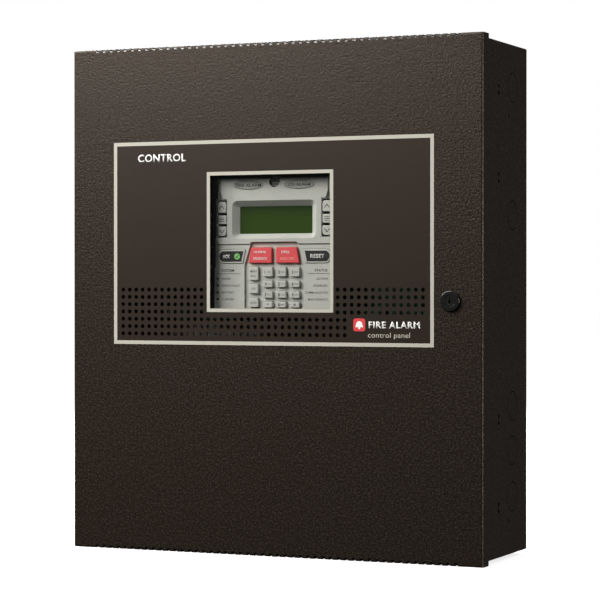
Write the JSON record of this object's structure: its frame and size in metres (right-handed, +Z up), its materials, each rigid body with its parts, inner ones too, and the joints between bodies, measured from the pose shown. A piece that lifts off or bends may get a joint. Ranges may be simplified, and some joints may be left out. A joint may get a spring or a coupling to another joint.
{
  "type": "fire alarm control panel",
  "caption": "Wall-mounted fire alarm control panel: dark steel cabinet, hinged lockable door with a window, grey keypad with display, circuit board and batteries.",
  "frame": {"origin": "centre of the cabinet's back face, on the wall", "axes": "+X right as seen from the front, +Y into the wall, +Z up; the front faces -Y"},
  "size_m": [0.4332, 0.1348, 0.4892],
  "materials": {
    "cabinet_paint": "fine-textured dark bronze powder coat",
    "zinc_steel": "zinc plated",
    "rivet_black": "painted over",
    "galvanised_sheet": "galvanised",
    "circuit_board": "green solder mask",
    "terminal_plastic": "moulded nylon",
    "relay_case": "moulded case",
    "capacitor_sleeve": "shrink sleeve",
    "core_steel": "varnished laminations",
    "coil_tape": "polyester tape",
    "battery_case": "moulded ABS",
    "tab_brass": "tinned brass",
    "lead_red": "PVC sleeve",
    "lead_black": "PVC sleeve",
    "bezel_grey": "fine matt moulding",
    "lcd_green": "dark green display glass",
    "mat_rubber": "matt silicone",
    "lamp_dark": "unlit lamp",
    "lens_grey": "translucent, unlit",
    "sounder_black": "moulded",
    "overlay_film": "velvet polyester film, dark with pale border",
    "clear_pane": "clear polycarbonate",
    "lock_black": "gloss black",
    "key_grey": "matt silicone",
    "key_red": "printed red silicone",
    "key_black": "printed black silicone"
  },
  "bodies": {
    "cabinet": {"backbox": "cabinet_paint", "latch_strike": "zinc_steel", "hinge_plates": "cabinet_paint", "hinge_pins": "zinc_steel", "hinge_rivets": "rivet_black", "chassis_plate": "galvanised_sheet", "standoffs": "zinc_steel", "machine_screws": "zinc_steel", "main_board": "circuit_board", "terminal_blocks": "terminal_plastic", "relays": "relay_case", "capacitors": "capacitor_sleeve", "transformer_core": "core_steel", "transformer_coil": "coil_tape", "battery_left": "battery_case", "battery_right": "battery_case", "battery_terminals": "tab_brass", "battery_lead_red": "lead_red", "battery_lead_black": "lead_black", "keypad_bezel": "bezel_grey", "lcd_display": "lcd_green", "keypad_board": "circuit_board", "key_mat": "mat_rubber", "status_leds": "lamp_dark", "alarm_lenses": "lens_grey", "sounder": "sounder_black"},
    "door": {"door": "cabinet_paint", "door_overlay": "overlay_film", "window_pane": "clear_pane", "push_nuts": "zinc_steel", "hinge_leaves": "cabinet_paint", "lock_body": "lock_black", "lock_nut": "zinc_steel"},
    "lock": {"lock_plug": "lock_black", "lock_cam": "zinc_steel"},
    "key_scroll_up_left_cap": {"key_scroll_up_left": "key_grey"},
    "key_menu_left_cap": {"key_menu_left": "key_grey"},
    "key_scroll_down_left_cap": {"key_scroll_down_left": "key_grey"},
    "key_scroll_up_right_cap": {"key_scroll_up_right": "key_grey"},
    "key_menu_right_cap": {"key_menu_right": "key_grey"},
    "key_scroll_down_right_cap": {"key_scroll_down_right": "key_grey"},
    "key_acknowledge_cap": {"key_acknowledge": "key_black"},
    "key_reset_cap": {"key_reset": "key_black"},
    "key_silence_cap": {"key_silence": "key_red"},
    "key_drill_cap": {"key_drill": "key_red"},
    "key_function_cap": {"key_function": "key_grey"},
    "key_clear_cap": {"key_clear": "key_grey"},
    "key_enter_cap": {"key_enter": "key_grey"},
    "key_1_cap": {"key_1": "key_grey"},
    "key_2_cap": {"key_2": "key_grey"},
    "key_3_cap": {"key_3": "key_grey"},
    "key_4_cap": {"key_4": "key_grey"},
    "key_5_cap": {"key_5": "key_grey"},
    "key_6_cap": {"key_6": "key_grey"},
    "key_7_cap": {"key_7": "key_grey"},
    "key_8_cap": {"key_8": "key_grey"},
    "key_9_cap": {"key_9": "key_grey"},
    "key_star_cap": {"key_star": "key_grey"},
    "key_0_cap": {"key_0": "key_grey"},
    "key_hash_cap": {"key_hash": "key_grey"}
  },
  "joints": [
    {"name": "door_hinge", "type": "hinge", "parent": "cabinet", "child": "door", "pos_m": [-0.2166, -0.1105, 0], "axis": [0, 0, -1], "range_deg": [0, 180]},
    {"name": "lock_turn", "type": "hinge", "parent": "door", "child": "lock", "pos_m": [0.1819, -0.1238, -0.0012], "axis": [0, -1, 0], "range_deg": [0, 90]},
    {"name": "key_scroll_up_left_press", "type": "slide", "parent": "cabinet", "child": "key_scroll_up_left_cap", "axis": [0, 1, 0], "range_m": [0, 0.001], "stiffness_N_per_m": 200},
    {"name": "key_menu_left_press", "type": "slide", "parent": "cabinet", "child": "key_menu_left_cap", "axis": [0, 1, 0], "range_m": [0, 0.001], "stiffness_N_per_m": 200},
    {"name": "key_scroll_down_left_press", "type": "slide", "parent": "cabinet", "child": "key_scroll_down_left_cap", "axis": [0, 1, 0], "range_m": [0, 0.001], "stiffness_N_per_m": 200},
    {"name": "key_scroll_up_right_press", "type": "slide", "parent": "cabinet", "child": "key_scroll_up_right_cap", "axis": [0, 1, 0], "range_m": [0, 0.001], "stiffness_N_per_m": 200},
    {"name": "key_menu_right_press", "type": "slide", "parent": "cabinet", "child": "key_menu_right_cap", "axis": [0, 1, 0], "range_m": [0, 0.001], "stiffness_N_per_m": 200},
    {"name": "key_scroll_down_right_press", "type": "slide", "parent": "cabinet", "child": "key_scroll_down_right_cap", "axis": [0, 1, 0], "range_m": [0, 0.001], "stiffness_N_per_m": 200},
    {"name": "key_acknowledge_press", "type": "slide", "parent": "cabinet", "child": "key_acknowledge_cap", "axis": [0, 1, 0], "range_m": [0, 0.001], "stiffness_N_per_m": 200},
    {"name": "key_reset_press", "type": "slide", "parent": "cabinet", "child": "key_reset_cap", "axis": [0, 1, 0], "range_m": [0, 0.001], "stiffness_N_per_m": 200},
    {"name": "key_silence_press", "type": "slide", "parent": "cabinet", "child": "key_silence_cap", "axis": [0, 1, 0], "range_m": [0, 0.001], "stiffness_N_per_m": 200},
    {"name": "key_drill_press", "type": "slide", "parent": "cabinet", "child": "key_drill_cap", "axis": [0, 1, 0], "range_m": [0, 0.001], "stiffness_N_per_m": 200},
    {"name": "key_function_press", "type": "slide", "parent": "cabinet", "child": "key_function_cap", "axis": [0, 1, 0], "range_m": [0, 0.001], "stiffness_N_per_m": 200},
    {"name": "key_clear_press", "type": "slide", "parent": "cabinet", "child": "key_clear_cap", "axis": [0, 1, 0], "range_m": [0, 0.001], "stiffness_N_per_m": 200},
    {"name": "key_enter_press", "type": "slide", "parent": "cabinet", "child": "key_enter_cap", "axis": [0, 1, 0], "range_m": [0, 0.001], "stiffness_N_per_m": 200},
    {"name": "key_1_press", "type": "slide", "parent": "cabinet", "child": "key_1_cap", "axis": [0, 1, 0], "range_m": [0, 0.001], "stiffness_N_per_m": 200},
    {"name": "key_2_press", "type": "slide", "parent": "cabinet", "child": "key_2_cap", "axis": [0, 1, 0], "range_m": [0, 0.001], "stiffness_N_per_m": 200},
    {"name": "key_3_press", "type": "slide", "parent": "cabinet", "child": "key_3_cap", "axis": [0, 1, 0], "range_m": [0, 0.001], "stiffness_N_per_m": 200},
    {"name": "key_4_press", "type": "slide", "parent": "cabinet", "child": "key_4_cap", "axis": [0, 1, 0], "range_m": [0, 0.001], "stiffness_N_per_m": 200},
    {"name": "key_5_press", "type": "slide", "parent": "cabinet", "child": "key_5_cap", "axis": [0, 1, 0], "range_m": [0, 0.001], "stiffness_N_per_m": 200},
    {"name": "key_6_press", "type": "slide", "parent": "cabinet", "child": "key_6_cap", "axis": [0, 1, 0], "range_m": [0, 0.001], "stiffness_N_per_m": 200},
    {"name": "key_7_press", "type": "slide", "parent": "cabinet", "child": "key_7_cap", "axis": [0, 1, 0], "range_m": [0, 0.001], "stiffness_N_per_m": 200},
    {"name": "key_8_press", "type": "slide", "parent": "cabinet", "child": "key_8_cap", "axis": [0, 1, 0], "range_m": [0, 0.001], "stiffness_N_per_m": 200},
    {"name": "key_9_press", "type": "slide", "parent": "cabinet", "child": "key_9_cap", "axis": [0, 1, 0], "range_m": [0, 0.001], "stiffness_N_per_m": 200},
    {"name": "key_star_press", "type": "slide", "parent": "cabinet", "child": "key_star_cap", "axis": [0, 1, 0], "range_m": [0, 0.001], "stiffness_N_per_m": 200},
    {"name": "key_0_press", "type": "slide", "parent": "cabinet", "child": "key_0_cap", "axis": [0, 1, 0], "range_m": [0, 0.001], "stiffness_N_per_m": 200},
    {"name": "key_hash_press", "type": "slide", "parent": "cabinet", "child": "key_hash_cap", "axis": [0, 1, 0], "range_m": [0, 0.001], "stiffness_N_per_m": 200}
  ]
}
